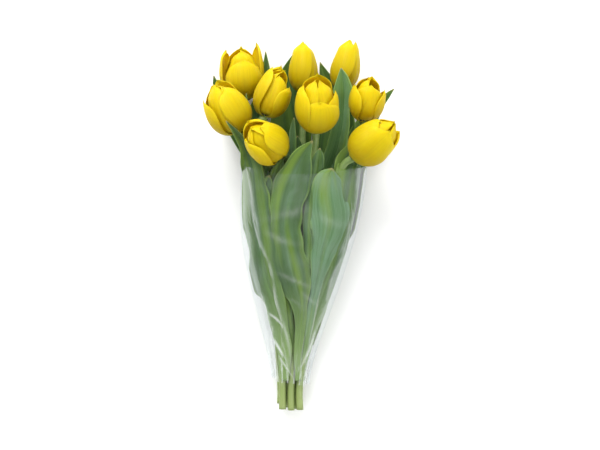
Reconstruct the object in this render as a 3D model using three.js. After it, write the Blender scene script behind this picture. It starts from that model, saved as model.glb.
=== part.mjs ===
// A bunch of nine cut tulips in a clear film sleeve, lying on its back.
// Millimetres. +X runs across the bunch, +Y from the cut stem ends to the flowers, +Z is up.
import * as THREE from 'three';

const { clamp, degToRad, lerp, smoothstep } = THREE.MathUtils;

// ---- Driving dimensions ----

// Stems
const stemDiameter = 7.5;
const stemGap = 0.6; // least air between two stems where they are gathered
const columnSpread = 0.9; // extra room between neighbours in a row of gathered stems
const bareStem = 27; // stem below the sleeve
const stemLead = 14; // straight stem under a flower
const receptacleLength = 4; // stem inside the flower, up to the pistil
const receptacleRim = 0.5; // slope at its end
const pistilDiameter = 5;
const pistilLength = 14;
const stemSides = 8;
const stemSteps = 13;

// Flower heads
const headWidth = 44; // across a full flower
const headLength = 56;
const headGap = 4; // air between two flowers side by side
const petalThickness = 1.2;
const petalGap = 1.4; // air between the outer petals and the inner ones
const petalSeam = 12; // degrees left open between neighbouring outer petals
const budWaist = 0.4; // share of a petal's length where it starts to narrow
const footRoundness = 0.62; // power of the flower's side view, less is flatter round the stem
const spreadPower = 1.5; // how late along its length a petal spreads
const innerNotch = 0.24; // depth of the dips between the three inner petals, as a share of their length
const petalSteps = 6;
const petalColumns = 4;
const innerSides = 18;

// Leaves
const leafWidth = 40; // of a full leaf
const leafThickness = 0.9;
const leafGap = 1.4; // air between leaf and film, and between leaves that lie over each other
const leafTip = 1.2; // width of a leaf's blunt tip
const leafFold = 0.22; // rise of a free leaf's edges over its midrib, as a share of its half width
const leafBlend = 22; // length over which a leaf leaves the shape of the sleeve
const leafFoot = 0.1; // share of the blade's outline that is missing where a leaf grows from its stem
const leafFullness = 0.8; // power of the blade's outline, less is fuller
const leafShoulder = 0.85; // power that moves the widest part toward the foot
const leafFacetLength = 18; // longest facet along a leaf
const leafFacetWidth = 11; // widest facet across one

// Film sleeve
const filmThickness = 0.6;
const sleeveLength = 230; // neck to mouth
const flowersAcross = 2.69; // width of the mouth, in flowers with the air between them
const flowersDeep = 1.625; // height of the mouth, likewise
const neckRoom = 3.8; // air and film round the gathered stems
const stemWaist = 0.25; // how far the stems keep off the film midway, as a share of their way to it
const mouthDip = 12; // how much lower the mouth is cut in front
const neckSlant = 7; // how much higher one side of the neck ends
const sleeveLean = 14; // how far the neck lies to the side of the mouth's middle
const sectionPower = 2.3; // 2 is an ellipse, more is boxier
const flareStart = 1.5; // power that keeps the sleeve slim over the neck
const flareEnd = 2.6; // power that brings it to its full width before the mouth
const leanPower = 1.3; // power of the bend from the neck to the mouth
const sleeveSides = 28;
const sleeveRows = 9;

// ---- Derived values ----

const stemRadius = stemDiameter / 2;
const rowPitch = stemDiameter + stemGap;
const columnPitch = rowPitch + columnSpread;
const headPitch = headWidth + headGap;
const levelPitch = leafThickness + leafGap;
const mouthHalfWidth = (flowersAcross * headPitch) / 2;
const mouthHalfHeight = (flowersDeep * headPitch) / 2;
const neckY = bareStem;
const mouthY = neckY + sleeveLength;
const petalRing = stemRadius + petalThickness; // middle of a petal's foot, round the stem

// Gathered stems lie in three rows of three. A row is shifted sideways so that it nests.
const rowShifts = { back: 0, middle: -2, front: 0.5 };
const rowHeights = { back: -rowPitch, middle: 0, front: rowPitch };
const widestShift = Math.max(...Object.values(rowShifts).map(Math.abs));
const neckHalfWidth = columnPitch + widestShift + stemRadius + neckRoom;
const neckHalfHeight = rowPitch + stemRadius + neckRoom;

// Every flower: its row and column in the gathered stems, the cut end's rise, the place where its stem
// passes the mouth (shares of the mouth's half width and half height), the foot of the flower (in head
// pitches from the middle of the mouth, z from the ground), the way it faces, its size, how far its
// petals close (1 would meet at the tip) and how far the outer and inner ones then spread, as a share of
// its radius.
const tulips = [
  {
    row: 'back', column: -1, cut: 3, mouth: [-0.65, -0.28], foot: [-1.32, 1.34, 0.52],
    facing: [-0.04, 1, 0.02], width: 0.98, length: 1, turn: 4, closing: 0.87, spread: [0.42, 0],
  },
  {
    row: 'middle', column: -1, cut: 6, mouth: [-0.7, 0.18], foot: [-1.38, 0.58, 1.2],
    facing: [-0.46, 0.88, 0.1], width: 1.02, length: 1, turn: 20, closing: 0.82, spread: [0.16, 0.04],
  },
  {
    row: 'middle', column: 0, cut: 2, mouth: [-0.5, 0.08], foot: [-0.84, 0.94, 1.08],
    facing: [0.34, 0.94, 0.02], width: 0.84, length: 0.92, turn: -16, closing: 0.84, spread: [0.14, 0.04],
  },
  {
    row: 'front', column: -1, cut: 1, mouth: [-0.22, 0.38], foot: [-0.53, 0.12, 1.32],
    facing: [-0.54, 0.46, 0.7], width: 0.96, length: 0.94, turn: 30, closing: 0.82, spread: [0.16, 0.06],
  },
  {
    row: 'back', column: 0, cut: 4, mouth: [0, -0.3], foot: [-0.03, 1.52, 0.56],
    facing: [0, 1, 0.02], width: 0.7, length: 0.92, turn: 0, closing: 0.9, spread: [0.02, 0],
  },
  {
    row: 'front', column: 0, cut: 0, mouth: [0.14, 0.46], foot: [0.24, 0.6, 1.36],
    facing: [0.04, 0.92, 0.38], width: 1.04, length: 1.04, turn: 58, closing: 0.82, spread: [0.14, 0.05],
  },
  {
    row: 'back', column: 1, cut: 2, mouth: [0.46, -0.3], foot: [0.8, 1.57, 0.6],
    facing: [0.17, 0.98, 0.03], width: 0.7, length: 0.92, turn: 25, closing: 0.9, spread: [0.02, 0],
  },
  {
    row: 'middle', column: 1, cut: 0.5, mouth: [0.74, 0.02], foot: [1.26, 0.86, 0.96],
    facing: [0.16, 0.92, 0.3], width: 0.84, length: 0.88, turn: -30, closing: 0.84, spread: [0.14, 0.04],
  },
  {
    row: 'front', column: 1, cut: 0.5, mouth: [0.58, 0.36], foot: [1.02, 0.06, 1.4],
    facing: [0.72, 0.6, 0.35], width: 0.98, length: 1.02, turn: 10, closing: 0.8, spread: [0.22, 0.1],
  },
];

// Every leaf: where it starts and leaves the sleeve (shares of the sleeve's length), its angles there round
// the section (0 points to +X, 90 up), its level under the film, its width as a share of a full leaf, and
// its way on from the mouth (in head pitches from the middle of the mouth, z from the ground).
const leaves = [
  {
    start: 0.32, end: 0.95, angles: [92, 100], level: 0, width: 0.9,
    way: [[0, 0.14, 1.62], [0.16, 0.42, 1.7]],
  },
  {
    start: 0.24, end: 0.94, angles: [30, 62], level: 1, width: 1.06,
    way: [],
  },
  {
    start: 0.34, end: 0.97, angles: [2, 15], level: 2, width: 0.76,
    way: [],
  },
  {
    start: 0.34, end: 1.01, angles: [178, 160], level: 0, width: 0.74,
    way: [[-1.42, 0.26, 1.6], [-1.62, 0.76, 1.96]],
  },
  {
    start: 0.3, end: 0.93, angles: [140, 131], level: 1, width: 0.78,
    way: [],
  },
  {
    start: 0.36, end: 0.95, angles: [118, 112], level: 2, width: 0.5,
    way: [],
  },
  {
    start: 0.5, end: 0.92, angles: [84, 96], level: 3, width: 0.3,
    way: [[-0.26, 0.26, 1.2], [-0.26, 0.9, 1.34]],
  },
  {
    start: 0.36, end: 0.94, angles: [48, 40], level: 3, width: 0.7,
    way: [],
  },
  {
    start: 0.28, end: 0.99, angles: [-66, -60], level: 1, width: 0.86,
    way: [[0.66, 0.9, 0.18], [0.6, 1.6, 0.16], [0.38, 2.2, 0.2]],
  },
  {
    start: 0.26, end: 0.99, angles: [-92, -94], level: 0, width: 0.84,
    way: [[-0.1, 0.9, 0.12], [-0.24, 1.7, 0.12], [-0.33, 2.44, 0.18]],
  },
  {
    start: 0.28, end: 0.99, angles: [-119, -122], level: 1, width: 0.56,
    way: [[-0.8, 0.8, 0.2], [-0.84, 1.6, 0.14], [-0.8, 2.4, 0.24]],
  },
  {
    start: 0.3, end: 1, angles: [-163, -160], level: 2, width: 0.66,
    way: [[-1.5, 0.6, 0.28], [-1.8, 1.4, 0.22], [-1.96, 1.98, 0.26]],
  },
  {
    start: 0.3, end: 1.02, angles: [-20, -26], level: 0, width: 0.74,
    way: [[1.52, 0.5, 0.4], [1.78, 1.1, 0.44], [1.92, 1.6, 0.54]],
  },
];

// One more leaf grows up the middle of the bunch: its way as above, from its foot.
const middleLeaf = {
  width: 0.44,
  way: [
    [0.08, -1.67, 0.77],
    [0.31, -0.72, 0.83],
    [0.56, 0, 0.88],
    [0.75, 0.83, 0.94],
    [0.8, 1.44, 0.98],
    [0.74, 1.96, 1],
  ],
};

// ---- Materials ----

const paints = {
  petal: new THREE.MeshStandardMaterial({ color: 0xffdf12, roughness: 0.55, metalness: 0 }),
  innerPetal: new THREE.MeshStandardMaterial({ color: 0xf2cc10, roughness: 0.6, metalness: 0 }),
  leaf: new THREE.MeshStandardMaterial({ color: 0x5c8a62, roughness: 0.6, metalness: 0 }),
  stem: new THREE.MeshStandardMaterial({ color: 0x96b468, roughness: 0.5, metalness: 0 }),
  film: new THREE.MeshStandardMaterial({
    color: 0xe8eef2, roughness: 0.15, metalness: 0, transparent: true, opacity: 0.3,
  }),
};

// ---- Tools ----

function named(name, geometry, material) {
  const mesh = new THREE.Mesh(geometry, material);
  mesh.name = name;
  return mesh;
}

// Moves every vertex of a geometry.
function mapped(geometry, place) {
  const positions = geometry.getAttribute('position');
  const vertex = new THREE.Vector3();
  for (let i = 0; i < positions.count; i += 1) {
    const moved = place(vertex.fromBufferAttribute(positions, i));
    positions.setXYZ(i, moved.x, moved.y, moved.z);
  }
  geometry.computeVertexNormals();
  return geometry;
}

// A closed sheet round a surface(u, t), with u from -1 to 1 and t from 0 to 1.
function sheet(surface, acrossSteps, alongSteps, thickness) {
  const step = 0.01;
  return mapped(new THREE.BoxGeometry(2, 1, 1, acrossSteps, alongSteps, 1), ({ x: u, y, z }) => {
    const t = y + 0.5;
    const across = surface(u + step, t).sub(surface(u - step, t));
    const along = surface(u, Math.min(t + step, 1)).sub(surface(u, Math.max(t - step, 0)));
    const normal = across.cross(along).normalize();
    return surface(u, t).addScaledVector(normal, z * thickness);
  });
}

// A place given in head pitches from the middle of the mouth, with z from the ground.
function bunchPoint([x, y, z]) {
  return new THREE.Vector3(x * headPitch, mouthY + y * headPitch, z * headPitch);
}

// ---- The sleeve's shape, which the stems and leaves follow ----

function sleeveShare(y) {
  return clamp((y - neckY) / sleeveLength, 0, 1);
}

function sleeveSection(y) {
  const share = sleeveShare(y);
  const flare = 1 - (1 - share ** flareStart) ** flareEnd;
  const halfHeight = lerp(neckHalfHeight, mouthHalfHeight, flare);
  return {
    x: -sleeveLean * (1 - share ** leanPower),
    z: halfHeight,
    halfWidth: lerp(neckHalfWidth, mouthHalfWidth, flare),
    halfHeight,
  };
}

function boxy(value) {
  return Math.sign(value) * Math.abs(value) ** (2 / sectionPower);
}

// A point on the section at y, at an angle and a depth under the sleeve's outside.
function wallPoint(y, angle, inset) {
  const section = sleeveSection(y);
  return new THREE.Vector3(
    section.x + (section.halfWidth - inset) * boxy(Math.cos(angle)),
    y,
    section.z + (section.halfHeight - inset) * boxy(Math.sin(angle)),
  );
}

// Walks a distance round the section from an angle, toward smaller angles.
function alongWall(y, angle, inset, distance) {
  const steps = 8;
  const probe = 0.02;
  let at = angle;
  for (let i = 0; i < steps; i += 1) {
    const span = wallPoint(y, at + probe, inset).distanceTo(wallPoint(y, at - probe, inset));
    at -= (distance / steps) * ((2 * probe) / span);
  }
  return wallPoint(y, at, inset);
}

function makeSleeve() {
  const profile = [];
  for (let row = 0; row <= sleeveRows; row += 1) profile.push(new THREE.Vector2(2, row / sleeveRows));
  for (let row = sleeveRows; row >= 0; row -= 1) profile.push(new THREE.Vector2(1, row / sleeveRows));
  profile.push(profile[0].clone());
  const geometry = mapped(new THREE.LatheGeometry(profile, sleeveSides), ({ x, y: share, z }) => {
    const angle = Math.atan2(z, x);
    const low = neckY + neckSlant * Math.max(0, -Math.cos(angle));
    const high = mouthY - mouthDip * Math.max(0, Math.sin(angle));
    const inset = Math.hypot(x, z) > 1.5 ? 0 : filmThickness;
    return wallPoint(lerp(low, high, share), angle, inset);
  });
  return named('sleeve', geometry, paints.film);
}

// ---- Tulips ----

// The foot, the axis and the two directions across it that a flower is built on.
function flowerFrame(tulip) {
  const axis = new THREE.Vector3(...tulip.facing).normalize();
  const front = new THREE.Vector3(0, 0, 1).addScaledVector(axis, -axis.z).normalize();
  const side = new THREE.Vector3().crossVectors(axis, front);
  return { foot: bunchPoint(tulip.foot), axis, front, side };
}

function flowerPoint(frame, radius, angle, rise) {
  return frame.foot.clone()
    .addScaledVector(frame.axis, rise)
    .addScaledVector(frame.side, radius * Math.sin(angle))
    .addScaledVector(frame.front, radius * Math.cos(angle));
}

// The side view of a flower: rise along the axis and radius, moved inward by an inset.
function flowerProfile(tulip, spread, t, inset) {
  const swell = (headWidth * tulip.width) / 2 - petalRing;
  const length = headLength * tulip.length;
  const bare = (s) => new THREE.Vector2(
    length * s,
    petalRing + swell * (Math.sin(tulip.closing * Math.PI * s ** footRoundness) + spread * s ** spreadPower),
  );
  const step = 0.01;
  const slope = bare(Math.min(t + step, 1)).sub(bare(Math.max(t - step, 0))).normalize();
  return bare(t).add(new THREE.Vector2(slope.y, -slope.x).multiplyScalar(inset));
}

function makeOuterPetal(name, tulip, centre) {
  const frame = flowerFrame(tulip);
  const widest = degToRad(60 - petalSeam / 2);
  const surface = (u, t) => {
    const taper = Math.sqrt(1 - (Math.max(0, t - budWaist) / (1.02 - budWaist)) ** 2);
    const profile = flowerProfile(tulip, tulip.spread[0], t, 0);
    return flowerPoint(frame, profile.y, centre + u * widest * taper, profile.x);
  };
  return named(name, sheet(surface, petalColumns, petalSteps, petalThickness), paints.petal);
}

function makeInnerPetals(name, tulip, centre) {
  const frame = flowerFrame(tulip);
  const middle = petalThickness + petalGap;
  const profile = [];
  const add = (t, inset) => {
    const point = flowerProfile(tulip, tulip.spread[1], t, inset);
    profile.push(new THREE.Vector2(point.y, point.x));
  };
  for (let i = 0; i <= petalSteps; i += 1) add(i / petalSteps, middle - petalThickness / 2);
  for (let i = petalSteps; i >= 0; i -= 1) add(i / petalSteps, middle + petalThickness / 2);
  profile.push(profile[0].clone());
  const length = headLength * tulip.length;
  const geometry = mapped(new THREE.LatheGeometry(profile, innerSides), ({ x, y: rise, z }) => {
    const angle = Math.atan2(x, z);
    const dip = 0.5 - 0.5 * Math.cos(3 * (angle - centre));
    const lowered = rise * (1 - innerNotch * dip * Math.max(0, rise / length) ** 3);
    return flowerPoint(frame, Math.hypot(x, z), angle, lowered);
  });
  return named(name, geometry, paints.innerPetal);
}

function makeStem(name, tulip) {
  const { foot, axis } = flowerFrame(tulip);
  const neck = {
    x: tulip.column * columnPitch + rowShifts[tulip.row],
    z: rowHeights[tulip.row],
  };
  const inSleeve = (share) => {
    const y = lerp(neckY, mouthY, share);
    const section = sleeveSection(y);
    const waist = 1 - stemWaist * Math.sin(Math.PI * share);
    const u = waist * lerp(neck.x / neckHalfWidth, tulip.mouth[0], share);
    const v = waist * lerp(neck.z / neckHalfHeight, tulip.mouth[1], share);
    return new THREE.Vector3(section.x + u * section.halfWidth, y, section.z + v * section.halfHeight);
  };
  const gathered = inSleeve(0);
  const cutEnd = gathered.clone().setY(tulip.cut);
  const curve = new THREE.CatmullRomCurve3([
    cutEnd,
    gathered,
    inSleeve(0.3),
    inSleeve(0.6),
    inSleeve(0.86),
    foot.clone().addScaledVector(axis, -stemLead),
    foot,
    foot.clone().addScaledVector(axis, receptacleLength + pistilLength),
  ], false, 'centripetal');
  const length = curve.getLength();
  const footAt = length - receptacleLength - pistilLength;
  const rings = [];
  for (let i = 0; i <= stemSteps; i += 1) {
    rings.push({ at: (i / stemSteps) * (footAt + receptacleLength - receptacleRim), radius: stemRadius });
  }
  rings.push({ at: footAt + receptacleLength, radius: pistilDiameter / 2 });
  rings.push({ at: length, radius: pistilDiameter / 2 });
  const last = rings.length - 1;
  const across = new THREE.Vector3(1, 0, 0);
  const geometry = mapped(new THREE.CylinderGeometry(1, 1, 1, stemSides, last), ({ x, y, z }) => {
    const ring = rings[Math.round((y + 0.5) * last)];
    const share = clamp(ring.at / length, 0, 1);
    const tangent = curve.getTangentAt(share);
    const side = across.clone().addScaledVector(tangent, -tangent.x).normalize();
    const front = new THREE.Vector3().crossVectors(side, tangent);
    return curve.getPointAt(share)
      .addScaledVector(side, x * ring.radius)
      .addScaledVector(front, z * ring.radius);
  });
  return named(name, geometry, paints.stem);
}

function makeTulip(tulip, number) {
  const name = `tulip_${number}`;
  const parts = [makeStem(`${name}_stem`, tulip)];
  const turn = degToRad(tulip.turn);
  for (let i = 0; i < 3; i += 1) {
    parts.push(makeOuterPetal(`${name}_outer_petal_${i + 1}`, tulip, turn + degToRad(120 * i)));
  }
  parts.push(makeInnerPetals(`${name}_inner_petals`, tulip, turn + degToRad(60)));
  return parts;
}

// ---- Leaves ----

// Half the width of a leaf at a share of its length.
function leafHalfWidth(width, t) {
  const shape = Math.sin(Math.PI * lerp(leafFoot, 1, t) ** leafShoulder) ** leafFullness;
  return Math.max(leafWidth * width * shape, leafTip) / 2;
}

// From a free leaf's midrib out to the side, folded up along the midrib.
function foldedAcross(tangent, outward, distance) {
  const side = new THREE.Vector3().crossVectors(tangent, outward).normalize();
  return side.multiplyScalar(distance).addScaledVector(outward, Math.abs(distance) * leafFold);
}

function leafMesh(number, surface, width, length) {
  const name = `leaf_${String(number).padStart(2, '0')}`;
  const columns = 2 * Math.ceil((leafWidth * width) / 2 / leafFacetWidth);
  const rows = Math.ceil(length / leafFacetLength);
  return named(name, sheet(surface, columns, rows, leafThickness), paints.leaf);
}

function makeLeaf(leaf, number) {
  const [startAngle, endAngle] = leaf.angles.map(degToRad);
  const inset = filmThickness + leafGap + leafThickness / 2 + leaf.level * levelPitch;
  const startY = lerp(neckY, mouthY, leaf.start);
  const endY = lerp(neckY, mouthY, leaf.end);
  const angleAt = (y) => lerp(startAngle, endAngle, (y - startY) / (endY - startY));
  const lead = [endY - leafBlend, endY].map((y) => wallPoint(y, angleAt(y), inset));
  const freeCurve = new THREE.CatmullRomCurve3([...lead, ...leaf.way.map(bunchPoint)]);
  const freeStart = 1 / (lead.length + leaf.way.length - 1);
  const freeLength = leaf.way.length ? freeCurve.getLength() - leafBlend : 0;
  const length = endY - startY + freeLength;
  const outward = wallPoint(endY, endAngle, 0).sub(wallPoint(endY, endAngle, 1)).normalize();

  const surface = (u, t) => {
    const distance = t * length;
    const reach = u * leafHalfWidth(leaf.width, t);
    const y = Math.min(startY + distance, endY);
    const middle = wallPoint(y, angleAt(y), inset);
    const inShell = alongWall(y, angleAt(y), inset, reach);
    const past = distance - (endY - startY);
    if (past <= 0 || !freeLength) return inShell;
    const share = lerp(freeStart, 1, past / freeLength);
    const bound = inShell.sub(middle);
    const free = foldedAcross(freeCurve.getTangent(share), outward, reach);
    return freeCurve.getPoint(share).add(bound.lerp(free, smoothstep(past, 0, leafBlend)));
  };
  return leafMesh(number, surface, leaf.width, length);
}

function makeMiddleLeaf(number) {
  const curve = new THREE.CatmullRomCurve3(middleLeaf.way.map(bunchPoint));
  const up = new THREE.Vector3(0, 0, 1);
  const surface = (u, t) => {
    const reach = u * leafHalfWidth(middleLeaf.width, t);
    return curve.getPointAt(t).add(foldedAcross(curve.getTangentAt(t), up, reach));
  };
  return leafMesh(number, surface, middleLeaf.width, curve.getLength());
}

// ---- The bunch ----

const bunch = new THREE.Group();
bunch.add(makeSleeve());
leaves.forEach((leaf, i) => bunch.add(makeLeaf(leaf, i + 1)));
bunch.add(makeMiddleLeaf(leaves.length + 1));
tulips.forEach((tulip, i) => bunch.add(...makeTulip(tulip, i + 1)));

// The origin is the middle of the bounding box, on the ground.
const box = new THREE.Box3().setFromObject(bunch, true);
const middle = box.getCenter(new THREE.Vector3());
bunch.position.set(-middle.x, -middle.y, -box.min.z);

export default bunch;
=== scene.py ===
import math

import bpy
import numpy as np
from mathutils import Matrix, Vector


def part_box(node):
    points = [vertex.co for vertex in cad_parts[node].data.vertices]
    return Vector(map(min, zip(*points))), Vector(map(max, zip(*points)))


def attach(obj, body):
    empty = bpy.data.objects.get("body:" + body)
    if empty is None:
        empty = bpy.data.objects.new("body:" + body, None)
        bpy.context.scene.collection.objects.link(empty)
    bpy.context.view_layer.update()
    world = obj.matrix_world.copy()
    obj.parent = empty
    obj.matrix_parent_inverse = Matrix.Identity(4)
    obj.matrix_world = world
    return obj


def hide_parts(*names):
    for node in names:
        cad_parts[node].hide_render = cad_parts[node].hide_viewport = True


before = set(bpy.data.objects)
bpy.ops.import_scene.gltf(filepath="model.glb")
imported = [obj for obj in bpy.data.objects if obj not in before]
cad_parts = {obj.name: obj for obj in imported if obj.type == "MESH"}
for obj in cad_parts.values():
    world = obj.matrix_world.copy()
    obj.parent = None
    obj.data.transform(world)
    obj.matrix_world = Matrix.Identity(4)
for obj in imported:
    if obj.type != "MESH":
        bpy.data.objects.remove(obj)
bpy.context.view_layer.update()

# A bunch of nine tulips in a clear film sleeve, lying down. Metres, in the frame of the CAD model:
# +X across the bunch, +Y from the cut stem ends to the flowers, +Z up.

# ---- Places and sizes, from the frame ----

MM = 0.001
sleeve_low, sleeve_high = (Vector(corner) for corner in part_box("sleeve"))
mouth_half_height = (sleeve_high.z - sleeve_low.z) / 2
flowers_across, flowers_deep = 2.69, 1.625  # width and height of the mouth, in flowers with the air between them
head_pitch = 2 * mouth_half_height / flowers_deep  # one flower and the air beside it
mouth_half_width = flowers_across * head_pitch / 2
sleeve_length = sleeve_high.y - sleeve_low.y
mouth = Vector((sleeve_high.x - mouth_half_width, sleeve_high.y, sleeve_low.z))  # under its middle

# Stems
stem_radius = 3.75 * MM
stem_gap = 0.6 * MM
column_spread = 0.9 * MM
bare_stem = 27 * MM
stem_lead = 14 * MM
stem_waist = 0.25

# Flower heads
head_width = head_pitch - 4 * MM
head_length = 56 * MM
foot_roundness = 0.62
spread_power = 1.5
petal_thickness = 0.55 * MM
petal_ring = stem_radius + 0.9 * MM
inner_inset = 2.3 * MM  # the inner petals' depth under the outer ones

# Leaves
leaf_thickness = 0.6 * MM
film_gap = 1.6 * MM  # from the film to the middle of the first leaf
leaf_pitch = 2.6 * MM

# Film sleeve
neck_room = 3.8 * MM
section_power = 2.3
flare_start = 1.5
flare_end = 2.6
lean_power = 1.3
sleeve_lean = 14 * MM
mouth_dip = 12 * MM
neck_slant = 7 * MM

row_pitch = 2 * stem_radius + stem_gap
column_pitch = row_pitch + column_spread
row_shifts = {"back": 0.0, "middle": -2 * MM, "front": 0.5 * MM}
row_heights = {"back": -row_pitch, "middle": 0.0, "front": row_pitch}
neck_half_width = column_pitch + 2 * MM + stem_radius + neck_room
neck_half_height = row_pitch + stem_radius + neck_room

# Every flower, placed as in the CAD model, and its petals: three outer ones, then three inner ones. They are
# turned and sized to match the photo, so they differ from the CAD petals. Each has
# a turn from its even place (degrees), how far it spreads and closes, and its length and width.
tulips = [
    dict(row="back", column=-1, cut=3, mouth=(-0.65, -0.28), foot=(-1.32, 1.34, 0.52), facing=(-0.04, 1, 0.02),
         width=0.98, length=1, turn=4,
         petals=[(8, 0.0, 0.93, 0.7, 1.1), (-14, 0.5, 0.86, 1.06, 0.8), (10, 0.46, 0.88, 0.95, 0.88),
                 (-16, -0.04, 0.97, 0.93, 1.05), (0, 0.0, 0.94, 0.99, 1.1), (16, -0.06, 0.97, 0.92, 1.05)]),
    dict(row="middle", column=-1, cut=6, mouth=(-0.7, 0.18), foot=(-1.38, 0.58, 1.2), facing=(-0.46, 0.88, 0.1),
         width=1.02, length=1, turn=20,
         petals=[(28, 0.02, 0.9, 0.84, 1.0), (10, 0.1, 0.86, 1.03, 0.95), (10, 0.16, 0.88, 0.82, 1.0),
                 (0, 0.0, 0.93, 0.94, 1.0), (0, 0.06, 0.88, 0.98, 1.0), (2, 0.0, 0.91, 0.98, 0.95)]),
    dict(row="middle", column=0, cut=2, mouth=(-0.5, 0.08), foot=(-0.84, 0.94, 1.08), facing=(0.34, 0.94, 0.02),
         width=0.84, length=0.92, turn=-16,
         petals=[(-46, 0.14, 0.9, 0.96, 0.74), (-26, 0.12, 0.9, 0.7, 1.05), (-20, 0.1, 0.88, 1.06, 1.0),
                 (-42, 0.0, 0.93, 0.86, 1.05), (0, 0.0, 0.92, 1.02, 1.0), (-10, 0.0, 0.95, 0.98, 1.0)]),
    dict(row="front", column=-1, cut=1, mouth=(-0.22, 0.38), foot=(-0.53, 0.12, 1.32), facing=(-0.54, 0.46, 0.7),
         width=0.96, length=0.94, turn=30,
         petals=[(26, 0.04, 0.93, 0.88, 1.0), (6, 0.16, 0.89, 1.01, 1.0), (0, 0.1, 0.92, 0.86, 1.05),
                 (4, 0.0, 0.96, 0.97, 1.0), (20, 0.0, 0.95, 0.98, 1.05), (6, -0.04, 0.97, 0.92, 1.08)]),
    dict(row="back", column=0, cut=4, mouth=(0, -0.3), foot=(-0.03, 1.52, 0.56), facing=(0, 1, 0.02),
         width=0.7, length=0.92, turn=0,
         petals=[(-26, 0.0, 0.95, 1.0, 1.05), (-52, 0.05, 0.93, 0.99, 1.05), (0, 0.0, 0.94, 0.97, 1.0),
                 (0, 0.0, 0.96, 0.97, 1.0), (0, 0, 0.96, 0.96, 1.0), (0, 0, 0.96, 0.96, 1.0)]),
    dict(row="front", column=0, cut=0, mouth=(0.14, 0.46), foot=(0.24, 0.6, 1.36), facing=(0.04, 0.92, 0.38),
         width=1.04, length=1.04, turn=58,
         petals=[(-50, 0.0, 0.86, 0.64, 1.3), (2, 0.04, 0.92, 1.03, 1.0), (-12, 0.12, 0.86, 0.84, 1.0),
                 (-36, 0.14, 0.86, 0.76, 1.0), (70, -0.02, 0.94, 0.93, 0.82), (52, -0.02, 0.94, 0.93, 0.82)]),
    dict(row="back", column=1, cut=2, mouth=(0.46, -0.3), foot=(0.8, 1.57, 0.6), facing=(0.17, 0.98, 0.03),
         width=0.7, length=0.92, turn=25,
         petals=[(-58, 0.0, 0.94, 1.0, 1.1), (-74, 0.1, 0.92, 0.98, 1.0), (-20, 0.0, 0.95, 0.97, 1.0),
                 (0, 0.0, 0.96, 0.96, 1.0), (0, 0, 0.96, 0.96, 1.0), (0, 0, 0.96, 0.96, 1.0)]),
    dict(row="middle", column=1, cut=0.5, mouth=(0.74, 0.02), foot=(1.26, 0.86, 0.96), facing=(0.16, 0.92, 0.3),
         width=0.84, length=0.88, turn=-30,
         petals=[(-44, 0.1, 0.88, 0.74, 1.0), (0, 0.12, 0.88, 0.72, 1.0), (0, 0.02, 0.92, 0.9, 1.0),
                 (-26, 0.0, 0.92, 0.8, 1.15), (0, 0.0, 0.94, 0.95, 1.0), (20, 0.0, 0.96, 0.9, 1.0)]),
    dict(row="front", column=1, cut=0.5, mouth=(0.58, 0.36), foot=(1.02, 0.06, 1.4), facing=(0.72, 0.6, 0.35),
         width=0.98, length=1.02, turn=10,
         petals=[(12, 0.02, 0.9, 0.86, 1.08), (4, 0.2, 0.88, 0.9, 1.05), (42, 0.04, 0.92, 0.84, 1.15),
                 (14, 0.03, 0.91, 0.98, 0.9), (10, 0.06, 0.91, 0.99, 0.98), (-14, 0.0, 0.94, 0.97, 0.98)]),
]

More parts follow.
